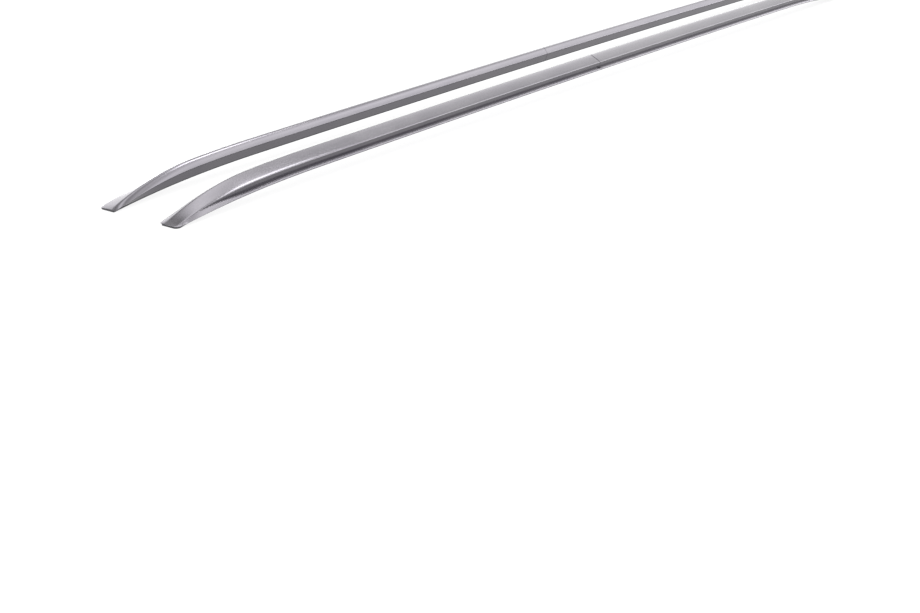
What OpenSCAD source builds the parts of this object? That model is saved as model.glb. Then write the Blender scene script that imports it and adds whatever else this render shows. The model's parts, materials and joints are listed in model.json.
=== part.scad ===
// Roof side rail pair: two mirrored aluminium rails laid side by side, outer flanks facing away.
// Each rail is two formed lengths of one extrusion, butted at mid-length over an internal joiner.
// X runs along the rails, front at +X, and Z is up. The pads under the tips stand on Z = 0.

/* [Rail line] */
// Length of one rail from tip to tip
rail_len = 2050; // [1700:10:2400]
// Distance between the centre lines of the two rails
rail_pitch = 110; // [90:5:200]
// Rise of the long shallow arch at mid-length
arch_rise = 5.7; // [2:0.1:30]
// Depth by which the last stretch of each end turns down
tip_drop = 15.6; // [8:0.1:30]
// Length of the stretch that turns down
tip_run = 290; // [200:5:400]
// Exponent of the turn-down, where more is a sharper bend at the tip
tip_curve = 2.4; // [1.6:0.1:3]
// Gap left in the butt joint between the two lengths
seam_gap = 0.8; // [0.3:0.1:2]

/* [Section] */
// Height of the ridge above the base of the section
crown_h = 22.6; // [21:0.1:30]
// Place of the ridge across the section
peak_u = -4.7; // [-7:0.1:0]
// Outward reach of the crease that ends the top face
crease_u = 15; // [14:0.1:16.5]
// Height of that crease
crease_h = 12.7; // [12:0.1:15]
// Inward reach of the inner crease
inner_u = -14.4; // [-16:0.1:-12.5]
// Height of the inner crease
inner_h = 12; // [11.6:0.1:15]
// Inward reach of the inner wall's foot
foot_u = -10; // [-12:0.1:-9.2]
// Exponent of the top face between ridge and outer crease
out_curve = 1.1; // [1:0.05:2]
// Exponent of the shoulder between ridge and inner crease
in_curve = 2; // [1.6:0.1:3]
// Wall of the extrusion
wall = 2.2; // [1.6:0.1:2.5]
// Height of the open channel under the web
channel_h = 7; // [6.6:0.1:7.2]
// Thickness of the web between channel and closed chamber
web_t = 1.6; // [1.2:0.1:1.8]

/* [Lip and groove] */
// Outward reach of the base lip
lip_u = 18.6; // [17.6:0.1:22]
// Thickness of the lip at its edge
lip_edge = 0.8; // [0.5:0.1:1.2]
// Share of the flank that stays as the lip below the groove
lip_share = 0.08; // [0.05:0.01:0.2]
// Height of the groove's floor at its root
groove_h = 1.4; // [1.2:0.1:2.2]
// Outward reach of the groove's root
groove_u = 13; // [12.4:0.1:13.8]
// Height of the groove's root
groove_w = 1.5; // [1:0.1:2]
// Distance from the tip at which the groove starts
groove_start = 28; // [20:1:60]
// Length over which the groove fades in
groove_fade = 110; // [50:2:160]

/* [Pressed end] */
// Height of the section at the very tip
tip_h = 2.1; // [1.5:0.1:8]
// Width of the rail at the very tip
tip_w = 20.7; // [16:0.1:26]
// Length over which the tip's outer corner is rounded
tip_corner = 8; // [4:0.5:12]
// Length over which the end is pressed down
press_run = 155; // [110:1:158]
// Exponent of the pressed taper
press_curve = 2.1; // [1.6:0.1:2.6]
// Length of the solid nose that closes channel and chamber
nose_len = 40; // [30:1:60]

/* [Gasket] */
// Thickness of the gasket under the rail
gasket_t = 1.2; // [0.8:0.1:2]
// Set-back of the gasket from the edge of the lip
gasket_set = 2; // [1.5:0.1:3]
// Length over which the set-back fades in from the tip
gasket_fade = 20; // [10:1:38]
// Width of each gasket strip
gasket_w = 5; // [3:0.5:6]
// Gap between the pad under the nose and the strips
pad_gap = 0.4; // [0.2:0.1:1]

/* [Joiner] */
// Length of the bar that joins the two lengths
joiner_len = 180; // [150:5:240]
// Distance of the inner joiner screws from the seam
joiner_near = 24; // [16:1:30]
// Distance of the outer joiner screws from the seam
joiner_far = 64; // [44:1:66]
// Diameter of the joiner screws
joiner_screw_d = 5; // [4:0.5:6]
// Depth of the joiner screws in the bar
joiner_bite = 6; // [4:0.5:7]

/* [Mounting brackets] */
// Distance of the end bracket's bolt from the tip
end_dist = 190; // [187:1:260]
// Distance of the middle bracket's bolt from the seam
mid_dist = 430; // [250:10:500]
// Length of an end bracket
end_len = 62; // [54:1:68]
// Length of a middle bracket
mid_len = 54; // [50:1:60]
// Thickness of a bracket's plate
plate_t = 3; // [2.5:0.1:3.4]
// Rounding of the plate's corners
plate_corner = 3; // [1:0.5:5]
// Diameter of the bolt thread in each bracket
bolt_d = 8; // [6:1:8]
// Wall of the boss round the thread
boss_wall = 3.6; // [2.5:0.1:3.8]
// Height of the boss foot above the base of the section
boss_low = 0.8; // [0.5:0.1:1.5]
// Width of a bracket's two stiffening ribs
rib_w = 1.8; // [1.2:0.1:2.2]
// Height of the ribs' foot above the base of the section
rib_low = 2.2; // [1:0.1:3]
// Diameter of the bracket screws
screw_d = 4; // [3:0.5:4]
// Distance of a bracket screw from the bracket's end
screw_edge = 7; // [6:0.5:9]
// Length of a bracket screw past the web
screw_past = 2; // [1:0.5:3]

/* [Fits] */
// Gap between the web and a bracket or a joiner screw's head
seat_gap = 0.25; // [0.2:0.05:0.4]
// Gap between a bracket and the heads of its screws
head_gap = 0.05; // [0.02:0.01:0.1]
// Gap between the gasket and the rail above it
gasket_gap = 0.05; // [0.02:0.01:0.1]
// Clearance of the joiner in the chamber
fit = 0.3; // [0.2:0.05:0.5]
// Clearance round a screw in its through hole
hole_fit = 0.25; // [0.15:0.05:0.4]
// Clearance round a screw in its tapped hole
thread_fit = 0.05; // [0.02:0.01:0.1]
// Clearance round the bolt's end in the web
bolt_room = 1.6; // [1:0.1:2]
// Clearance of a bracket from the channel walls
side_fit = 1; // [0.5:0.1:1.4]

/* [Hidden] */
round_fn = 48;
// Stations of one length: shares of the rounded tip corner, steps to the end of the nose,
// and steps to the seam that a power law sets closer together towards the nose
corner_shares = [0, 0.12, 0.36, 0.68, 1];
nose_steps = 4;
body_steps = 18;
body_power = 1.5;
// Points of the top face and of the shoulder
crown_steps = 6;
shoulder_steps = 5;
half_len = rail_len / 2;
web_top = channel_h + web_t;
channel_u = groove_u - wall;
groove_top = groove_h + groove_w;
crease_drop = 1.3;
crease_under = 0.35;
// Sideways share of an inset at the creases, and overlap of a bracket's boss and ribs with its plate
crease_inset = 1.1;
merge = 1;
metal = [0.72, 0.72, 0.73];
rubber = [0.09, 0.09, 0.1];
cast_metal = [0.58, 0.59, 0.6];
zinc = [0.66, 0.67, 0.66];

function mix(a, b, t) = a * (1 - t) + b * t;
function ease(t) = let (c = min(1, max(0, t))) c * c * (3 - 2 * c);
function tip_dist(x) = half_len - abs(x);

// Height of the rail's base line above the tips: a shallow parabola, with a power-law
// turn-down over the last stretch
function line_z(x) =
  arch_rise * (1 - pow(x / half_len, 2))
  + tip_drop * (1 - pow(1 - min(1, tip_dist(x) / tip_run), tip_curve));
function slope(x) = atan(line_z(x + 0.5) - line_z(x - 0.5));
// Share of its full height that the section keeps at x
function pressed(x) =
  1 - (1 - tip_h / crown_h) * pow(1 - min(1, tip_dist(x) / press_run), press_curve);
// Share of its full width that the rail has at x: the tip's outer corner is a quarter ellipse
function narrow(x) =
  let (c = 1 - min(1, tip_dist(x) / tip_corner))
    1 - (1 - tip_w / (lip_u - foot_u)) * (1 - sqrt(1 - c * c));
function plan_u(u, x) = foot_u + (u - foot_u) * narrow(x);
// Share of its full depth that the groove has at x
function groove_share(x) = ease((tip_dist(x) - groove_start) / groove_fade);

// Straight flank from the lip to just below the crease, and the recessed wall above the groove
lip_corner = [lip_u, lip_edge];
under_crease = [crease_u - crease_under, crease_h - crease_drop];
function flank(t) = mix(lip_corner, under_crease, t);
function wall_u(w) =
  mix(groove_u, under_crease[0], (w - groove_top) / (under_crease[1] - groove_top));
function inner_wall_u(w) = mix(foot_u, inner_u, w / inner_h);

// Crown and shoulder: power laws that fall from the peak to the two creases
function top_face(t, inset) = [
  mix(peak_u, crease_u - crease_inset * inset, t),
  crown_h - inset - (crown_h - crease_h) * pow(t, out_curve)
];
function shoulder(t, inset) = [
  mix(peak_u, inner_u + crease_inset * inset, t),
  crown_h - inset - (crown_h - inner_h) * pow(t, in_curve)
];
function crown(inset) = concat(
  [for (i = [crown_steps:-1:1]) top_face(i / crown_steps, inset)],
  [for (i = [0:shoulder_steps]) shoulder(i / shoulder_steps, inset)]
);

// Outside of the section from lip to inner foot, with the groove g open from 0 to 1
function outside(g) = concat(
  [
    [lip_u, 0],
    lip_corner,
    flank(mix(0.9, lip_share, g)),
    mix(flank(0.92), [groove_u, groove_h], g),
    mix(flank(0.94), [groove_u, groove_top], g),
    mix(flank(0.96), [wall_u(channel_h), channel_h], g),
    mix(flank(0.98), [wall_u(web_top), web_top], g),
    under_crease
  ],
  crown(0),
  [
    [inner_wall_u(web_top), web_top],
    [inner_wall_u(channel_h), channel_h],
    [foot_u, 0]
  ]
);
outside_n = len(outside(1));
web_out = 5;
web_in = outside_n - 3;

// Inside of the walls, point for point with the outside
channel_corner = [wall_u(web_top) - wall, web_top];
inside = concat(
  [for (i = [0:4]) [channel_u, groove_top * i / 4]],
  [
    [wall_u(channel_h) - wall, channel_h],
    channel_corner,
    mix(channel_corner, top_face(1, wall), 0.5)
  ],
  crown(wall),
  [
    [inner_wall_u(web_top) + wall, web_top],
    [inner_wall_u(channel_h) + wall, channel_h],
    [foot_u + wall, 0]
  ]
);
// Closed chamber above the web, drawn in by inset from the outside surface
function chamber(inset) = concat(
  [[wall_u(web_top) - inset, web_top + inset - wall]],
  crown(inset),
  [[inner_wall_u(web_top) + inset, web_top + inset - wall]]
);

function placed(points, x) = [
  for (p = points) [x, plan_u(p[0], x), line_z(x) + gasket_t + p[1] * pressed(x)]
];
// Stations of the rear length from its tip to the seam
corner_end = len(corner_shares) - 1;
nose_end = corner_end + nose_steps;
stations = concat(
  [for (share = corner_shares) share * tip_corner - half_len],
  [for (i = [1:nose_steps]) mix(tip_corner, nose_len, i / nose_steps) - half_len],
  [for (i = [1:body_steps]) mix(nose_len - half_len, -seam_gap / 2, pow(i / body_steps, body_power))]
);
// Two triangles on each edge of a closed loop of ring points, between ring j and the next
function band(loop, n, j) = [
  for (i = [0:len(loop) - 1])
    let (a = n * j + loop[i], b = n * j + loop[(i + 1) % len(loop)])
      for (face = [[a, a + n, b + n], [a, b + n, b]]) face
];
function count_up(first, last) = [for (i = [first:last]) i];
function flipped(list) = [for (i = [len(list) - 1:-1:0]) list[i]];
function shifted(list, by) = [for (v = list) v + by];
function join(lists) = [for (list = lists) for (v = list) v];

// One length of extrusion: open channel below the web, closed chamber above it, solid nose
module length_body() {
  rings = [for (x = stations) placed(concat(outside(groove_share(x)), inside), x)];
  last = len(rings) - 1;
  n = 2 * outside_n;
  edge = outside_n - 1;
  nose_loop = concat(count_up(0, edge), [outside_n + edge, outside_n]);
  // The tip's front face, split at the ridge because its foot has points in one line
  ridge = web_out + 2 + crown_steps;
  front_cells = [
    concat([outside_n], count_up(0, ridge)),
    [outside_n, ridge, outside_n + edge],
    concat([outside_n + edge], count_up(ridge, edge))
  ];
  open_loop = concat(
    count_up(0, edge),
    [outside_n + edge, outside_n + web_in + 1],
    flipped(shifted(count_up(0, web_out), outside_n))
  );
  channel_end = shifted(concat(count_up(0, web_out), [web_in + 1, edge]), outside_n);
  chamber_end = shifted(count_up(web_out + 1, web_in), outside_n);
  closed_loop = flipped(chamber_end);
  cells = concat(
    [for (i = [0:edge - 1]) [i, i + 1, outside_n + i + 1, outside_n + i]],
    [shifted([web_out, web_out + 1, web_in, web_in + 1], outside_n)]
  );
  polyhedron(
    points = join(rings),
    faces = concat(
      front_cells,
      join([for (j = [0:nose_end - 1]) band(nose_loop, n, j)]),
      [for (loop = [channel_end, chamber_end]) flipped(shifted(loop, n * nose_end))],
      join([for (j = [nose_end:last - 1]) band(open_loop, n, j)]),
      join([for (j = [nose_end:last - 1]) band(closed_loop, n, j)]),
      [for (cell = cells) flipped(shifted(cell, n * last))]
    )
  );
}

// Puts a piece at the section's base at x, tilted with the rail's line
module along(x) {
  translate([x, 0, line_z(x) + gasket_t]) rotate([0, -slope(x), 0]) children();
}

// Brackets of the rear length: place of the bolt and length of each
brackets = [[end_dist - half_len, end_len], [-mid_dist, mid_len]];
function screw_offset(length) = length / 2 - screw_edge;
channel_in = foot_u + wall;
bracket_mid_u = (channel_u + channel_in) / 2;
bracket_w = channel_u - channel_in - 2 * side_fit;

// Drop of the rail's line below its tangent at x, at the given reach to either side
function bow(x, reach) = max([
  for (side = [-1, 1]) line_z(x) + side * reach * tan(slope(x)) - line_z(x + side * reach)
]);
// Height of a bracket's top face, which clears the curved web at both of its ends
function bracket_top(place) = channel_h - seat_gap - bow(place[0], place[1] / 2);

module web_hole(x, offset, d) {
  along(x) translate([offset, bracket_mid_u, channel_h - web_t])
    cylinder(h = 3 * web_t, d = d, $fn = round_fn);
}

module rear_length() {
  color(metal) difference() {
    length_body();
    for (b = brackets) {
      web_hole(b[0], 0, bolt_d + 2 * bolt_room);
      for (side = [-1, 1]) web_hole(b[0], side * screw_offset(b[1]), screw_d + 2 * thread_fit);
    }
    for (d = [joiner_near, joiner_far]) web_hole(-d, 0, joiner_screw_d + 2 * hole_fit);
  }
}

// Rubber strip of four-cornered section through the given stations, from u1 out to u2
module rubber_strip(xs, u1, u2) {
  last = len(xs) - 1;
  rings = [
    for (x = xs)
      let (
        outer = min(u2, lip_u - gasket_set * ease(tip_dist(x) / gasket_fade)),
        low = line_z(x),
        high = low + gasket_t - gasket_gap,
        across = [plan_u(outer, x), plan_u(u1, x)]
      )
        [[x, across[0], low], [x, across[0], high], [x, across[1], high], [x, across[1], low]]
  ];
  loop = [0, 1, 2, 3];
  color(rubber) polyhedron(
    points = join(rings),
    faces = concat(
      [loop],
      join([for (j = [0:last - 1]) band(loop, 4, j)]),
      [flipped(shifted(loop, 4 * last))]
    )
  );
}
pad_stations = [for (i = [0:nose_end]) stations[i]];
strip_stations = concat(
  [stations[nose_end] + pad_gap],
  [for (i = [nose_end + 1:len(stations) - 1]) stations[i]]
);
strip_edge = lip_u - gasket_set;
module rear_pad() {
  rubber_strip(pad_stations, foot_u, lip_u);
}
module rear_outer_strip() {
  rubber_strip(strip_stations, strip_edge - gasket_w, strip_edge);
}
module rear_inner_strip() {
  rubber_strip(strip_stations, foot_u, foot_u + gasket_w);
}

// Solid bar in the chamber across the seam, tapped for four screws from below
joiner_top = web_top + joiner_bite;
joiner_places = [-joiner_far, -joiner_near, joiner_near, joiner_far];
joiner_steps = 4;
module joiner() {
  section = chamber(wall + fit);
  n = len(section);
  loop = count_up(0, n - 1);
  rings = [for (i = [0:joiner_steps]) placed(section, joiner_len * (i / joiner_steps - 0.5))];
  color(cast_metal) difference() {
    polyhedron(
      points = join(rings),
      faces = concat(
        [loop],
        [flipped(shifted(loop, n * joiner_steps))],
        join([for (j = [0:joiner_steps - 1]) band(loop, n, j)])
      )
    );
    for (x = joiner_places)
      along(x) translate([0, bracket_mid_u, 0])
        cylinder(h = joiner_top + hole_fit, d = joiner_screw_d + 2 * thread_fit, $fn = round_fn);
  }
}

// Pan-head screw pointing up: its head's top face is at height 0 and its tip at height reach
module pan_screw(d, reach) {
  head = 0.6 * d;
  difference() {
    union() {
      rotate_extrude($fn = round_fn)
        polygon([
          [0, -head], [0.7 * d, -head], [0.95 * d, -0.55 * head], [0.95 * d, 0], [0, 0]
        ]);
      translate([0, 0, -0.01]) cylinder(h = reach, d = d, $fn = round_fn);
    }
    translate([0, 0, -head - 0.01]) cylinder(h = 0.6 * head, d = 0.9 * d, $fn = 6);
  }
}

module joiner_screws() {
  color(zinc) for (x = joiner_places)
    along(x) translate([0, bracket_mid_u, channel_h - seat_gap])
      pan_screw(joiner_screw_d, joiner_top - channel_h);
}

// Cast bracket in the channel: plate against the web, boss with the bolt thread, two ribs
module rear_bracket(place) {
  length = place[1];
  plate_low = bracket_top(place) - plate_t;
  reach = length - bracket_w;
  color(cast_metal) along(place[0]) difference() {
    union() {
      translate([0, bracket_mid_u, plate_low]) linear_extrude(plate_t)
        offset(r = plate_corner, $fn = 32)
          square([length - 2 * plate_corner, bracket_w - 2 * plate_corner], center = true);
      translate([0, bracket_mid_u, boss_low])
        cylinder(h = plate_low + merge - boss_low, d = bolt_d + 2 * boss_wall, $fn = round_fn);
      for (side = [-1, 1])
        translate([-reach / 2, bracket_mid_u + side * (bracket_w / 2 - rib_w) - rib_w / 2, rib_low])
          cube([reach, rib_w, plate_low + merge - rib_low]);
    }
    translate([0, bracket_mid_u, 0]) cylinder(h = 2 * channel_h, d = bolt_d, $fn = round_fn);
    for (side = [-1, 1])
      translate([side * screw_offset(length), bracket_mid_u, 0])
        cylinder(h = 2 * channel_h, d = screw_d + 2 * hole_fit, $fn = round_fn);
  }
}

// Screws of the two brackets of the rear length, from below through plate and web
module rear_bracket_screws() {
  color(zinc) for (b = brackets)
    along(b[0]) for (side = [-1, 1])
      translate([side * screw_offset(b[1]), bracket_mid_u, bracket_top(b) - plate_t - head_gap])
        pan_screw(screw_d, plate_t + web_t + screw_past);
}

// The left rail lies at +Y with its outer flank facing +Y; the right rail is its mirror image
module left(front = false) {
  translate([0, rail_pitch / 2, 0]) mirror([front ? 1 : 0, 0, 0]) children();
}
module right(front = false) {
  mirror([0, 1, 0]) left(front) children();
}

left(true) rear_length();  // left_front_rail
left() rear_length();  // left_rear_rail
left(true) rear_pad();  // left_front_pad
left(true) rear_outer_strip();  // left_front_outer_strip
left(true) rear_inner_strip();  // left_front_inner_strip
left() rear_pad();  // left_rear_pad
left() rear_outer_strip();  // left_rear_outer_strip
left() rear_inner_strip();  // left_rear_inner_strip
left() joiner();  // left_joiner
left() joiner_screws();  // left_joiner_screws
left(true) rear_bracket(brackets[0]);  // left_front_end_bracket
left() rear_bracket(brackets[0]);  // left_rear_end_bracket
left(true) rear_bracket(brackets[1]);  // left_front_mid_bracket
left() rear_bracket(brackets[1]);  // left_rear_mid_bracket
union() {  // left_bracket_screws
  left() rear_bracket_screws();
  left(true) rear_bracket_screws();
}
right(true) rear_length();  // right_front_rail
right() rear_length();  // right_rear_rail
right(true) rear_pad();  // right_front_pad
right(true) rear_outer_strip();  // right_front_outer_strip
right(true) rear_inner_strip();  // right_front_inner_strip
right() rear_pad();  // right_rear_pad
right() rear_outer_strip();  // right_rear_outer_strip
right() rear_inner_strip();  // right_rear_inner_strip
right() joiner();  // right_joiner
right() joiner_screws();  // right_joiner_screws
right(true) rear_bracket(brackets[0]);  // right_front_end_bracket
right() rear_bracket(brackets[0]);  // right_rear_end_bracket
right(true) rear_bracket(brackets[1]);  // right_front_mid_bracket
right() rear_bracket(brackets[1]);  // right_rear_mid_bracket
union() {  // right_bracket_screws
  right() rear_bracket_screws();
  right(true) rear_bracket_screws();
}
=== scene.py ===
import json
import math

import bmesh
import bpy
import numpy as np
from mathutils import Matrix, Vector
from mathutils.geometry import tessellate_polygon


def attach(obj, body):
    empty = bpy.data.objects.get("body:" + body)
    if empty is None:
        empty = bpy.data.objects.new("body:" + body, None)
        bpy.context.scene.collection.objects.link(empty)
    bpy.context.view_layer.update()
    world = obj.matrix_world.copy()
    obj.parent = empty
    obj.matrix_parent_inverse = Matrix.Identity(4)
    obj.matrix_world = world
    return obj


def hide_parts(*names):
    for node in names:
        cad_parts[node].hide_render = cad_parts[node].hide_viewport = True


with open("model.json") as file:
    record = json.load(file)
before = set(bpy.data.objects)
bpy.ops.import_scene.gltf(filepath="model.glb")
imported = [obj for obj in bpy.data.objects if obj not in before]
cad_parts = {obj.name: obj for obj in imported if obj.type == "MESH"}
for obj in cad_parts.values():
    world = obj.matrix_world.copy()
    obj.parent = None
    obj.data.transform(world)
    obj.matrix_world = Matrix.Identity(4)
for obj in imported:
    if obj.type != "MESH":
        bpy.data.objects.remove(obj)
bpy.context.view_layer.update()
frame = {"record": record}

mm = 0.001  # in metres
mergeDistance = 1e-7  # in metres; closer points of a mesh become one


# smooth step from 0 to 1: three times t squared less twice t cubed
def ease(t):
    c = np.clip(t, 0, 1)
    return c * c * (3 - 2 * c)


# sRGB hex to linear: the darkest values over 12.92, the others shifted and raised to 2.4
def linear(code):
    parts = [int(code[i:i + 2], 16) / 255 for i in (1, 3, 5)]
    return [v / 12.92 if v <= 0.04045 else ((v + 0.055) / 1.055) ** 2.4 for v in parts] + [1]


# one node of the given kind: sockets sets or links its inputs, fields sets the rest
def node(tree, kind, sockets=None, **fields):
    made = tree.nodes.new(kind)
    for field, value in fields.items():
        setattr(made, field, value)
    for name, value in (sockets or {}).items():
        if isinstance(value, bpy.types.NodeSocket):
            tree.links.new(value, made.inputs[name])
        else:
            made.inputs[name].default_value = value
    return made


# a new material with its shader, and the object's own coordinates for the patterns
def newMaterial(name, metallic):
    material = bpy.data.materials.new(name)
    material.use_nodes = True
    tree = material.node_tree
    tree.nodes.clear()
    shader = node(tree, "ShaderNodeBsdfPrincipled", {"Metallic": metallic})
    node(tree, "ShaderNodeOutputMaterial", {"Surface": shader.outputs[0]})
    coords = node(tree, "ShaderNodeTexCoord").outputs["Object"]
    return material, tree, shader, coords


noiseSpan = (0.3, 0.7)  # most of a noise pattern lies between these values


# finish of a surface: the tint pattern runs from deep to pale, the gloss pattern over its
# span from the first roughness to the second, and the relief pattern lifts the surface
def dress(tree, shader, look, tint, gloss, relief=None, glossSpan=noiseSpan):
    if tint is None:
        shader.inputs["Base Color"].default_value = linear(look["pale"])
    else:
        share = node(tree, "ShaderNodeMapRange", {
            "Value": tint, "From Min": noiseSpan[0], "From Max": noiseSpan[1]}).outputs[0]
        colour = node(tree, "ShaderNodeMix", {
            0: share, 6: linear(look["deep"]), 7: linear(look["pale"])}, data_type="RGBA")
        tree.links.new(colour.outputs[2], shader.inputs["Base Color"])
    rough = node(tree, "ShaderNodeMapRange", {
        "Value": gloss, "From Min": glossSpan[0], "From Max": glossSpan[1],
        "To Min": look["rough"][0], "To Max": look["rough"][1]})
    tree.links.new(rough.outputs[0], shader.inputs["Roughness"])
    if relief is not None:
        bump = node(tree, "ShaderNodeBump", {
            "Height": relief, "Strength": look["reliefShare"],
            "Distance": look["reliefMm"] * mm})
        tree.links.new(bump.outputs[0], shader.inputs["Normal"])


# A pixel of the picture is 1.5 to 4 mm on the rails. Real grain and lines are far finer, so
# each is drawn three to five times as coarse, and then shows as a faint mottle.

# Anodised aluminium, extruded, bead blasted and clear anodised: the blast softens every
# reflection, the film takes the metal down to grey, faint lines of the die run along it, and
# the film is a little thicker and duller in patches. Real grain 0.1 mm, real lines 0.25 mm.
anodised = {"pale": "#69676B", "deep": "#636166", "rough": (0.19, 0.24),
            "glossSpan": (0.15, 0.4), "cloudMm": 90, "grainMm": 0.35, "lineMm": 0.9,
            "lineStretch": 250, "reliefMm": 0.0006, "reliefShare": 0.5}


def satinAnodised():
    material, tree, shader, coords = newMaterial("satinAnodisedAluminium", 1)
    cloud = node(tree, "ShaderNodeTexNoise", {
        "Vector": coords, "Scale": 1 / (anodised["cloudMm"] * mm), "Detail": 2}).outputs["Fac"]
    grain = node(tree, "ShaderNodeTexNoise", {
        "Vector": coords, "Scale": 1 / (anodised["grainMm"] * mm), "Detail": 2}).outputs["Fac"]
    along = node(tree, "ShaderNodeVectorMath", {
        0: coords, 1: (1 / anodised["lineStretch"], 1, 1)}, operation="MULTIPLY").outputs[0]
    lines = node(tree, "ShaderNodeTexNoise", {
        "Vector": along, "Scale": 1 / (anodised["lineMm"] * mm), "Detail": 2}).outputs["Fac"]
    gloss = node(tree, "ShaderNodeMath", {0: cloud, 1: lines}, operation="MULTIPLY").outputs[0]
    relief = node(tree, "ShaderNodeMath", {0: grain, 1: lines}, operation="ADD").outputs[0]
    dress(tree, shader, anodised, cloud, gloss, relief, anodised["glossSpan"])
    return material


# EPDM rubber, moulded for the pads and extruded for the strips: matt black with a fine grain,
# and greyer where its bloom has come out. Real grain 0.15 mm.
rubber = {"pale": "#26262A", "deep": "#18181B", "rough": (0.6, 0.8), "grainMm": 0.6,
          "bloomMm": 40, "reliefMm": 0.02, "reliefShare": 0.6}


def epdmRubber():
    material, tree, shader, coords = newMaterial("epdmRubber", 0)
    grain = node(tree, "ShaderNodeTexNoise", {
        "Vector": coords, "Scale": 1 / (rubber["grainMm"] * mm), "Detail": 4}).outputs["Fac"]
    bloom = node(tree, "ShaderNodeTexNoise", {
        "Vector": coords, "Scale": 1 / (rubber["bloomMm"] * mm), "Detail": 3}).outputs["Fac"]
    dress(tree, shader, rubber, bloom, grain, grain)
    return material


# Die-cast aluminium, tumbled: light grey and slightly pitted, cloudy where the metal flowed.
# Real pits 0.2 mm.
cast = {"pale": "#A9ABAE", "deep": "#8D9093", "rough": (0.42, 0.6), "grainMm": 0.8,
        "cloudMm": 12, "reliefMm": 0.05, "reliefShare": 0.5}


def dieCast():
    material, tree, shader, coords = newMaterial("dieCastAluminium", 1)
    grain = node(tree, "ShaderNodeTexNoise", {
        "Vector": coords, "Scale": 1 / (cast["grainMm"] * mm), "Detail": 5,
        "Roughness": 0.6}).outputs["Fac"]
    cloud = node(tree, "ShaderNodeTexNoise", {
        "Vector": coords, "Scale": 1 / (cast["cloudMm"] * mm), "Detail": 3}).outputs["Fac"]
    dress(tree, shader, cast, cloud, grain, grain)
    return material


# Mill-finish aluminium, an extruded bar left as it came from the die: bright, with fine lines
# along it that draw each reflection out sideways. Real lines 0.1 mm.
mill = {"pale": "#B4B5B8", "rough": (0.28, 0.45), "lineMm": 0.5, "lineStretch": 100,
        "reliefMm": 0.008, "reliefShare": 0.5}


def millFinish():
    material, tree, shader, coords = newMaterial("millFinishAluminium", 1)
    along = node(tree, "ShaderNodeVectorMath", {
        0: coords, 1: (1 / mill["lineStretch"], 1, 1)}, operation="MULTIPLY").outputs[0]
    lines = node(tree, "ShaderNodeTexNoise", {
        "Vector": along, "Scale": 1 / (mill["lineMm"] * mm), "Detail": 3}).outputs["Fac"]
    dress(tree, shader, mill, None, lines, lines)
    return material


# Zinc-plated steel, barrel plated: a cold light grey in small patches, some of them duller.
# Real patches 0.4 mm.
zinc = {"pale": "#BEC2C6", "deep": "#A2A7AD", "rough": (0.25, 0.4), "patchMm": 1.5}


def zincPlated():
    material, tree, shader, coords = newMaterial("zincPlatedSteel", 1)
    patch = node(tree, "ShaderNodeTexNoise", {
        "Vector": coords, "Scale": 1 / (zinc["patchMm"] * mm), "Detail": 3}).outputs["Fac"]
    dress(tree, shader, zinc, patch, patch)
    return material


materials = {"satin_aluminium": satinAnodised(), "gasket_rubber": epdmRubber(),
             "cast_aluminium": dieCast(), "mill_aluminium": millFinish(),
             "zinc_steel": zincPlated()}
print("materials made")

# All lengths of the pieces are in mm. s is the distance along a rail from its nearer tip, u
# runs outward across it from its centre line, and w upward from the base of its section.
rail = {
    # line of the base, an arch that turns down at both ends
    "length": 2050, "pitch": 110, "seam": 0.8, "arch": 5.7, "drop": 15.6, "bendRun": 290,
    "bendCurve": 2.4, "bendPast": 10,
    # pressed end with a rounded tip, solid as far as the nose goes
    "tipHeight": 2.1, "tipWidth": 20.7, "corner": 8, "pressRun": 155, "pressCurve": 2.1,
    "nose": 40,
    # section: ridge, the crease and the wall's top under it, inner crease, inner foot
    "crown": 22.6, "peak": -4.7, "crease": (15.0, 12.7), "under": (14.65, 11.4),
    "inner": (-14.4, 12.0), "foot": -10.0, "outCurve": 1.1, "inCurve": 2.0,
    # hollow: wall, height of the open channel, web over it, and an inset's share at a crease
    "wall": 2.2, "channel": 7.0, "web": 1.6, "creaseInset": 1.1,
    # base lip and the groove above it, which opens over grooveFade from grooveStart on;
    # shut gives its points' shares of the plain flank before that
    "lip": 18.6, "lipEdge": 0.8, "lipShare": 0.16, "groove": 13.0, "grooveFloor": 1.4,
    "grooveWidth": 1.5, "grooveStart": 28, "grooveFade": 110, "shut": (0.9, 0.92, 0.94),
    # reach of the rounding at each edge, and the most that it takes of a side
    "round": {"lipEdge": 0.3, "lipTop": 0.4, "grooveFloor": 0.3, "grooveTop": 0.5,
              "under": 0.3, "crease": 4.0, "ridge": 1.6, "inner": 1.5, "web": 0.8,
              "channelEdge": 0.6},
    "mostOfSide": {"small": 0.45, "large": 0.7}, "largeFrom": 1.0, "creaseRoom": 0.74,
    # broken edge of the cut end, drawn in towards a middle point of the section
    "breakFrom": 2.0, "breakLength": 0.9, "breakInset": 1.0, "breakMiddle": (1.0, 10.0),
    "breakRadius": 15,
    # clearance holes in the web for the ends of the bolts
    "boltFromTip": 190, "boltFromMiddle": 430, "holeRadius": 5.6, "holeSides": 64,
    # steps along the rail, and round the section
    "along": {"corner": 14, "nose": 11, "press": 44, "bend": 22, "straight": 44},
    "outSteps": 12, "inSteps": 9, "chamberOut": 6, "chamberIn": 5, "roundSteps": 6,
    "sharpAngle": 32}
gasket = {"thick": 1.2, "gap": 0.05, "setBack": 2.0, "setBackFade": 20, "stripWidth": 5.0,
          "padGap": 0.4, "rim": 1.0, "rimFade": 26, "sharpAngle": 30}
halfLength = rail["length"] / 2
grooveTop = rail["grooveFloor"] + rail["grooveWidth"]


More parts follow.
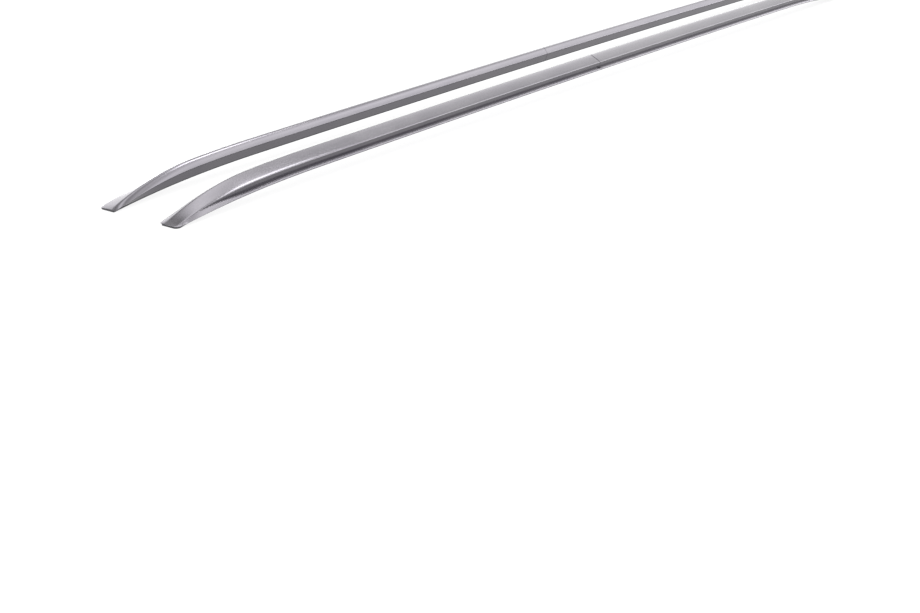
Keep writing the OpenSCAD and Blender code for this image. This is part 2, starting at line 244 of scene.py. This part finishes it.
# height of the base line: arch times one less the square of x over half the length, and drop
# times one less the power bendCurve of what is left of the bend
def lineHeight(s):
    x = halfLength - s
    bend = 1 - (1 - np.minimum(1, s / rail["bendRun"])) ** rail["bendCurve"]
    return rail["arch"] * (1 - (x / halfLength) ** 2) + rail["drop"] * bend


# share of the height that is kept: one less the tip's loss times the power pressCurve of what
# is left of the pressed run
def pressed(s):
    left = (1 - np.minimum(1, s / rail["pressRun"])) ** rail["pressCurve"]
    return 1 - (1 - rail["tipHeight"] / rail["crown"]) * left


# share of the width that is kept: a quarter of an ellipse over the rounded corner
def narrow(s):
    c = 1 - np.minimum(1, s / rail["corner"])
    full = rail["lip"] - rail["foot"]
    return 1 - (1 - rail["tipWidth"] / full) * (1 - np.sqrt(1 - c * c))


# rise of the rubber's rim round the tip, easing out over rimFade; the metal gives way to it
def rimRise(s):
    return gasket["rim"] * (1 - ease(s / gasket["rimFade"]))


# a quadratic curve in place of each corner that has a reach, from reach before it to reach
# after it; points is stations by corners by (u, w)
def rounded(points, reaches):
    t = np.linspace(0, 1, rail["roundSteps"] + 1)[:, None]
    parts = []
    for i, reach in enumerate(reaches):
        corner = points[:, i:i + 1]
        if reach == 0:
            parts.append(corner)
            continue
        most = rail["mostOfSide"]["large" if reach > rail["largeFrom"] else "small"]
        before, after = points[:, i - 1:i] - corner, points[:, i + 1:i + 2] - corner
        a, b = (corner + way * np.minimum(most, reach / np.hypot(way[..., :1], way[..., 1:]))
                for way in (before, after))
        parts.append((1 - t) ** 2 * a + 2 * t * (1 - t) * corner + t * t * b)
    return np.concatenate(parts, axis=1)


# top of the section, drawn in by inset: from the ridge, w falls with the power outCurve of
# the way to the crease, and with the power inCurve of the way to the inner crease
def crownPoints(inset, outSteps, inSteps):
    (creaseU, creaseW), (innerU, innerW) = rail["crease"], rail["inner"]
    top, peak, aside = rail["crown"] - inset, rail["peak"], rail["creaseInset"] * inset
    t = np.concatenate([[1], np.linspace(rail["creaseRoom"], 0, outSteps)])
    outer = np.stack([peak + (creaseU - aside - peak) * t,
                      top - (rail["crown"] - creaseW) * t ** rail["outCurve"]], 1)
    t = np.linspace(0, 1, inSteps + 1)[1:]
    inner = np.stack([peak + (innerU + aside - peak) * t,
                      top - (rail["crown"] - innerW) * t ** rail["inCurve"]], 1)
    return np.concatenate([outer, inner])


# u of the outer wall at w: a straight line from the groove to the point under the crease
def wallAt(w):
    underU, underW = rail["under"]
    return np.interp(w, [grooveTop, underW], [rail["groove"], underU])


# u of the inner wall at w: a straight line from the foot to the inner crease
def innerWallAt(w):
    innerU, innerW = rail["inner"]
    return rail["foot"] + (innerU - rail["foot"]) * w / innerW


# outside of every station's section, from the lip over the crown to the inner foot; share,
# one a station, moves the flank's three points from the plain flank to lip and groove
def outsidePoints(share):
    lip, under = np.array([rail["lip"], rail["lipEdge"]]), np.array(rail["under"])
    plain = lip + (under - lip) * np.array(rail["shut"])[:, None]
    opened = np.array([lip + (under - lip) * rail["lipShare"],
                       (rail["groove"], rail["grooveFloor"]), (rail["groove"], grooveTop)])
    flank = plain + (opened - plain) * share[:, None, None]
    start = np.array([(rail["lip"], 0), lip])
    rest = np.array([under, *crownPoints(0, rail["outSteps"], rail["inSteps"]),
                     (rail["foot"], 0)])
    points = np.concatenate([np.tile(start, (len(share), 1, 1)), flank,
                             np.tile(rest, (len(share), 1, 1))], axis=1)
    reach = rail["round"]
    reaches = [0, reach["lipEdge"], reach["lipTop"], reach["grooveFloor"], reach["grooveTop"],
               reach["under"], reach["crease"], *[0] * (rail["outSteps"] - 1), reach["ridge"],
               *[0] * (rail["inSteps"] - 1), reach["inner"], 0]
    return rounded(points, reaches)


# underside from the inner foot to the lip side: the open channel, its corners rounded, and
# the same number of points in a flat row for the solid nose
def channelPoints():
    left, right = rail["foot"] + rail["wall"], rail["groove"] - rail["wall"]
    high, reach = rail["channel"], rail["round"]
    corners = np.array([[(left, 0), (innerWallAt(high) + rail["wall"], high),
                         (wallAt(high) - rail["wall"], high), (right, grooveTop), (right, 0)]])
    channel = rounded(corners, [0, reach["web"], reach["web"], reach["channelEdge"], 0])[0]
    flat = np.linspace((left, 0), (right, 0), len(channel))
    return channel, flat


# closed chamber over the web, under the crown drawn in by the wall
def chamberPoints():
    floor, wall = rail["channel"] + rail["web"], rail["wall"]
    return np.array([(wallAt(floor) - wall, floor),
                     *crownPoints(wall, rail["chamberOut"], rail["chamberIn"]),
                     (innerWallAt(floor) + wall, floor)])


# sections put in place on one rail and one of its halves: u narrows towards the tip from the
# foot, and w is pressed down onto the base line with the rubber and its rim
def placed(sections, s, side, facing):
    u = rail["foot"] + (sections[..., 0] - rail["foot"]) * narrow(s)
    foot = lineHeight(s) + gasket["thick"] + rimRise(s)
    z = foot + sections[..., 1] * (pressed(s) - rimRise(s) / rail["crown"])
    x = np.broadcast_to((halfLength - s) * facing, u.shape)
    return np.stack([x, side * (rail["pitch"] / 2 + u), z], -1)


# four-sided faces between the rings of n points from ring a to ring b, round one closed loop
def band(loop, n, a, b):
    j = np.arange(a, b)[:, None] * n
    here, there = j + loop, j + np.roll(loop, -1)
    return np.stack([here, there, there + n, here + n], -1).reshape(-1, 4).tolist()


# triangles of a flat end face with a hole; the points of all loops are numbered in a row
def tessellated(loops):
    flat = [np.column_stack([loop[:, 1:], 0 * loop[:, 0]]).tolist() for loop in loops]
    return [list(face) for face in tessellate_polygon(flat)]


# closed mesh in metres from points in mm, faces outward, smooth up to the sharp angle
def meshPiece(name, points, faces, sharpAngle):
    mesh = bpy.data.meshes.new(name)
    mesh.from_pydata((points * mm).tolist(), [], faces)
    work = bmesh.new()
    work.from_mesh(mesh)
    loose = [v for v in work.verts if not v.link_faces]
    bmesh.ops.delete(work, geom=loose, context="VERTS")
    bmesh.ops.remove_doubles(work, verts=work.verts, dist=mergeDistance)
    bmesh.ops.recalc_face_normals(work, faces=work.faces)
    work.to_mesh(mesh)
    work.free()
    mesh.shade_smooth()
    mesh.set_sharp_from_angle(angle=math.radians(sharpAngle))
    piece = bpy.data.objects.new(name, mesh)
    bpy.context.scene.collection.objects.link(piece)
    return piece


# stations from the tip: closer together towards the tip in the rounded corner, then in even
# steps over the nose, the pressed run, the bend and the straight
def stationRuns(end):
    count, past = rail["along"], rail["bendRun"] + rail["bendPast"]
    corner = rail["corner"] * (1 - np.cos(np.linspace(0, np.pi / 2, count["corner"])))
    nose = np.linspace(rail["corner"], rail["nose"], count["nose"])[1:]
    press = np.linspace(rail["nose"], rail["pressRun"], count["press"])[1:]
    bend = np.linspace(rail["pressRun"], past, count["bend"])[1:]
    straight = np.linspace(past, end, count["straight"])[1:]
    return corner, nose, press, bend, straight


# one length: the section carried along all stations, with the chamber inside it from the
# nose to the cut end, and the holes cut in its web
def railPiece(name, side, facing):
    end = halfLength - rail["seam"] / 2
    corner, nose, press, bend, straight = stationRuns(end - rail["breakFrom"])
    solid = len(corner) + len(nose)
    s = np.concatenate([corner, nose, [rail["nose"]], press, bend, straight,
                        [end - rail["breakLength"], end]])
    outside = outsidePoints(ease((s - rail["grooveStart"]) / rail["grooveFade"]))
    middle = np.array(rail["breakMiddle"])
    outside[-1] = middle + (outside[-1] - middle) * (1 - rail["breakInset"] / rail["breakRadius"])
    hollow = (np.arange(len(s)) >= solid)[:, None, None]
    chamber = chamberPoints()
    sections = np.concatenate([outside, np.where(hollow, *channelPoints()),
                               np.tile(chamber, (len(s), 1, 1))], axis=1)
    rings = placed(sections, s[:, None], side, facing)
    count, n = rings.shape[:2]
    mainLoop, chamberLoop = np.split(np.arange(n), [n - len(chamber)])
    faces = band(mainLoop, n, 0, count - 1) + band(chamberLoop, n, solid, count - 1)
    faces += [mainLoop.tolist(), (chamberLoop + solid * n).tolist()]
    cutEnd = tessellated([rings[-1][mainLoop], rings[-1][chamberLoop]])
    faces += (np.array(cutEnd) + (count - 1) * n).tolist()
    piece = meshPiece(name, rings.reshape(-1, 3), faces, rail["sharpAngle"])
    cutWeb(piece, side, facing)
    piece.data.materials.clear()
    piece.data.materials.append(materials["satin_aluminium"])
    return piece


# cylinders three webs tall, square to the rail's line, taken out of the web; the line's slope
# is its rise over 1 mm
def cutWeb(piece, side, facing):
    cutters = bmesh.new()
    middle = (rail["groove"] + rail["foot"]) / 2
    lift = Matrix.Translation((0, 0, (rail["channel"] + rail["web"] / 2) * mm))
    for s in (rail["boltFromTip"], halfLength - rail["boltFromMiddle"]):
        slope = (lineHeight(s + 0.5) - lineHeight(s - 0.5)) * -facing
        place = Matrix.Translation(Vector((
            (halfLength - s) * facing, side * (rail["pitch"] / 2 + middle),
            lineHeight(s) + gasket["thick"])) * mm)
        bmesh.ops.create_cone(
            cutters, cap_ends=True, segments=rail["holeSides"], depth=3 * rail["web"] * mm,
            radius1=rail["holeRadius"] * mm, radius2=rail["holeRadius"] * mm,
            matrix=place @ Matrix.Rotation(-math.atan(slope), 4, "Y") @ lift)
    mesh = bpy.data.meshes.new("webCutters")
    cutters.to_mesh(mesh)
    cutters.free()
    cutter = bpy.data.objects.new("webCutters", mesh)
    bpy.context.scene.collection.objects.link(cutter)
    cut = piece.modifiers.new("webHoles", "BOOLEAN")
    cut.operation, cut.solver, cut.object = "DIFFERENCE", "EXACT", cutter
    graph = bpy.context.evaluated_depsgraph_get()
    done = bpy.data.meshes.new_from_object(piece.evaluated_get(graph))
    piece.modifiers.clear()
    piece.data = done
    bpy.data.objects.remove(cutter)
    done.set_sharp_from_angle(angle=math.radians(rail["sharpAngle"]))


# rubber of four-cornered section between u inner and u outer: it lies on the base line, ends
# just under the metal, and its outer edge stays setBack inside the lip away from the tip
def rubberPiece(name, side, facing, s, inner, outer):
    edge = np.minimum(outer, rail["lip"] - gasket["setBack"] * ease(s / gasket["setBackFade"]))
    foot = np.full(len(s), inner)
    u = np.stack([edge, edge, foot, foot], 1)
    y = side * (rail["pitch"] / 2 + rail["foot"] + (u - rail["foot"]) * narrow(s)[:, None])
    low = lineHeight(s)
    high = low + gasket["thick"] - gasket["gap"] + rimRise(s)
    x = np.tile((halfLength - s)[:, None] * facing, 4)
    points = np.stack([x, y, np.stack([low, high, high, low], 1)], -1).reshape(-1, 3)
    last = 4 * (len(s) - 1)
    faces = band(np.arange(4), 4, 0, len(s) - 1)
    faces += [[0, 1, 2, 3], [last + 3, last + 2, last + 1, last]]
    piece = meshPiece(name, points, faces, gasket["sharpAngle"])
    piece.data.materials.append(materials["gasket_rubber"])
    return piece


# pad under the solid nose, and two strips from there to the seam
def rubberPieces(name, side, facing):
    corner, nose, press, bend, straight = stationRuns(halfLength - rail["seam"] / 2)
    padRun = np.concatenate([corner, nose])
    stripRun = np.concatenate([[rail["nose"] + gasket["padGap"]], press, bend, straight])
    foot, edge, width = rail["foot"], rail["lip"] - gasket["setBack"], gasket["stripWidth"]
    return {"pad": rubberPiece(name + "Pad", side, facing, padRun, foot, rail["lip"]),
            "outer_strip": rubberPiece(name + "OuterStrip", side, facing, stripRun,
                                       edge - width, edge),
            "inner_strip": rubberPiece(name + "InnerStrip", side, facing, stripRun, foot,
                                       foot + width)}


for sideName, side in (("left", 1), ("right", -1)):
    for endName, facing in (("front", 1), ("rear", -1)):
        length = railPiece(f"{sideName}{endName.title()}Rail", side, facing)
        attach(length, "root")
        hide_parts(f"{sideName}_{endName}_rail")
        for part, strip in rubberPieces(sideName + endName.title(), side, facing).items():
            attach(strip, "root")
            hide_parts(f"{sideName}_{endName}_{part}")
print("rails and gaskets made")

# joiners, brackets and screws keep their CAD shapes and get their materials
slotOf = {part["node"]: part["material_slot"] for part in frame["record"]["subparts"]}
for name, slotName in slotOf.items():
    cadNode = bpy.data.objects.get(name)
    if cadNode is not None and cadNode.type == "MESH":
        for slot in cadNode.material_slots:
            slot.material = materials[slotName]
print("CAD nodes dressed")

# Pale paper, its size in metres. To the camera and in reflections a share of it is plain
# white, which keeps the shadows as faint as in the photograph.
paper = {"colour": "#E4E4E6", "size": 60.0, "whiteShare": 0.86}
floorMesh = bpy.data.meshes.new("floor")
reach = paper["size"] / 2
floorMesh.from_pydata([(-reach, -reach, 0), (reach, -reach, 0), (reach, reach, 0),
                       (-reach, reach, 0)], [], [(0, 1, 2, 3)])
floor = bpy.data.objects.new("floor", floorMesh)
bpy.context.scene.collection.objects.link(floor)
whitePaper = bpy.data.materials.new("whitePaper")
whitePaper.use_nodes = True
tree = whitePaper.node_tree
tree.nodes.clear()
matt = node(tree, "ShaderNodeBsdfDiffuse", {"Color": linear(paper["colour"])})
white = node(tree, "ShaderNodeEmission", {"Color": (1, 1, 1, 1), "Strength": 1.0})
rays = node(tree, "ShaderNodeLightPath").outputs
seen = node(tree, "ShaderNodeMath", {0: rays["Is Camera Ray"], 1: rays["Is Glossy Ray"]},
            operation="ADD").outputs[0]
seen = node(tree, "ShaderNodeMath", {0: seen, 1: rays["Is Transmission Ray"]},
            operation="ADD", use_clamp=True).outputs[0]
share = node(tree, "ShaderNodeMath", {0: seen, 1: paper["whiteShare"]},
             operation="MULTIPLY").outputs[0]
mixed = node(tree, "ShaderNodeMixShader", {0: share, 1: matt.outputs[0], 2: white.outputs[0]})
node(tree, "ShaderNodeOutputMaterial", {"Surface": mixed.outputs[0]})
floorMesh.materials.append(whitePaper)

# Studio dome of bright and dim zones, the product of three curves through (place, level)
# stops: by the sine of the elevation, by the direction's y, and by the sine leaned towards
# the camera's side, which dims the top of the dome there.
dome = {"elevation": [(0.0, 6.0), (0.05, 5.4), (0.12, 2.5), (0.25, 1.9), (0.42, 2.1),
                      (0.52, 2.5), (0.60, 2.15), (0.70, 1.45), (0.75, 1.6), (0.80, 2.1),
                      (0.86, 3.0), (0.93, 3.0), (0.985, 2.3)],
        "across": [(-1.0, 1.5), (-0.6, 1.6), (-0.42, 1.8), (-0.2, 1.5), (-0.04, 0.9),
                   (0.1, 0.82), (0.2, 1.35), (0.32, 1.4), (0.42, 1.0), (0.5, 0.7),
                   (0.56, 0.42), (0.64, 0.5), (0.78, 1.5), (1.0, 1.5)],
        "shade": [(0.0, 1.0), (0.825, 1.0), (0.88, 0.6), (0.925, 0.45), (1.2, 0.42)],
        "lean": -0.2}
world = bpy.data.worlds.new("studio")
bpy.context.scene.world = world
world.use_nodes = True
sky = world.node_tree
sky.nodes.clear()
direction = node(sky, "ShaderNodeTexCoord").outputs["Generated"]
axes = node(sky, "ShaderNodeSeparateXYZ", {0: direction}).outputs
up, across = axes[2], axes[1]
leaning = node(sky, "ShaderNodeMath", {0: across, 1: dome["lean"], 2: up},
               operation="MULTIPLY_ADD").outputs[0]
strength = 1.0
for value, stops in ((up, dome["elevation"]), (across, dome["across"]),
                     (leaning, dome["shade"])):
    lowest, highest = stops[0][0], stops[-1][0]
    peak = max(level for _, level in stops)
    share = node(sky, "ShaderNodeMapRange", {
        "Value": value, "From Min": lowest, "From Max": highest}).outputs[0]
    ramp = node(sky, "ShaderNodeValToRGB", {"Fac": share})
    ramp.color_ramp.interpolation = "EASE"
    elements = ramp.color_ramp.elements
    while len(elements) < len(stops):
        elements.new(0.5)  # its place is set below
    for element, (at, level) in zip(elements, stops):
        element.position = (at - lowest) / (highest - lowest)
        element.color = (level / peak, level / peak, level / peak, 1)
    scaled = node(sky, "ShaderNodeMath", {0: ramp.outputs[0], 1: peak},
                  operation="MULTIPLY").outputs[0]
    strength = node(sky, "ShaderNodeMath", {0: strength, 1: scaled},
                    operation="MULTIPLY").outputs[0]
back = node(sky, "ShaderNodeBackground", {"Color": (1, 1, 1, 1), "Strength": strength})
node(sky, "ShaderNodeOutputWorld", {"Surface": back.outputs[0]})

# a broad soft box overhead, and a small one whose reflection runs along the creases' first
# third; sizes and places in metres, energy in watts
lamps = {"softBox": {"size": (3.0, 2.0), "energy": 6, "place": (0.3, 0.6, 3.0)},
         "stripBox": {"size": (0.8, 0.6), "energy": 14, "place": (0.6, -0.28, 1.85)}}
for name, values in lamps.items():
    lamp = bpy.data.lights.new(name, "AREA")
    lamp.shape, lamp.energy = "RECTANGLE", values["energy"]
    lamp.size, lamp.size_y = values["size"]
    lampObject = bpy.data.objects.new(name, lamp)
    lampObject.location = values["place"]
    bpy.context.scene.collection.objects.link(lampObject)

# camera fitted to the rails' edges in the photograph: yaw from +X, pitch below level and roll
# in radians, lens and sensor in mm, the rest in metres
viewing = {"place": (-2.38247, -1.51688, 0.65095), "yaw": 0.6332, "pitch": 0.36935,
           "roll": 0.0041, "lens": 63.0, "sensor": 36.0, "clip": (0.05, 200)}
yaw, pitch, roll = viewing["yaw"], viewing["pitch"], viewing["roll"]
level = Vector((math.cos(yaw), math.sin(yaw), 0))
right = Vector((math.sin(yaw), -math.cos(yaw), 0))
ahead = level * math.cos(pitch) - Vector((0, 0, 1)) * math.sin(pitch)
above = right.cross(ahead)
rolledRight = right * math.cos(roll) + above * math.sin(roll)
rolledUp = above * math.cos(roll) - right * math.sin(roll)
turn = Matrix((rolledRight, rolledUp, -ahead)).transposed().to_4x4()
camera = bpy.data.cameras.new("camera")
camera.sensor_width, camera.lens = viewing["sensor"], viewing["lens"]
camera.clip_start, camera.clip_end = viewing["clip"]
eye = bpy.data.objects.new("camera", camera)
eye.matrix_world = Matrix.Translation(viewing["place"]) @ turn
bpy.context.scene.collection.objects.link(eye)
bpy.context.scene.camera = eye
bpy.context.scene.view_settings.view_transform = "Standard"
print("floor, light and camera made")
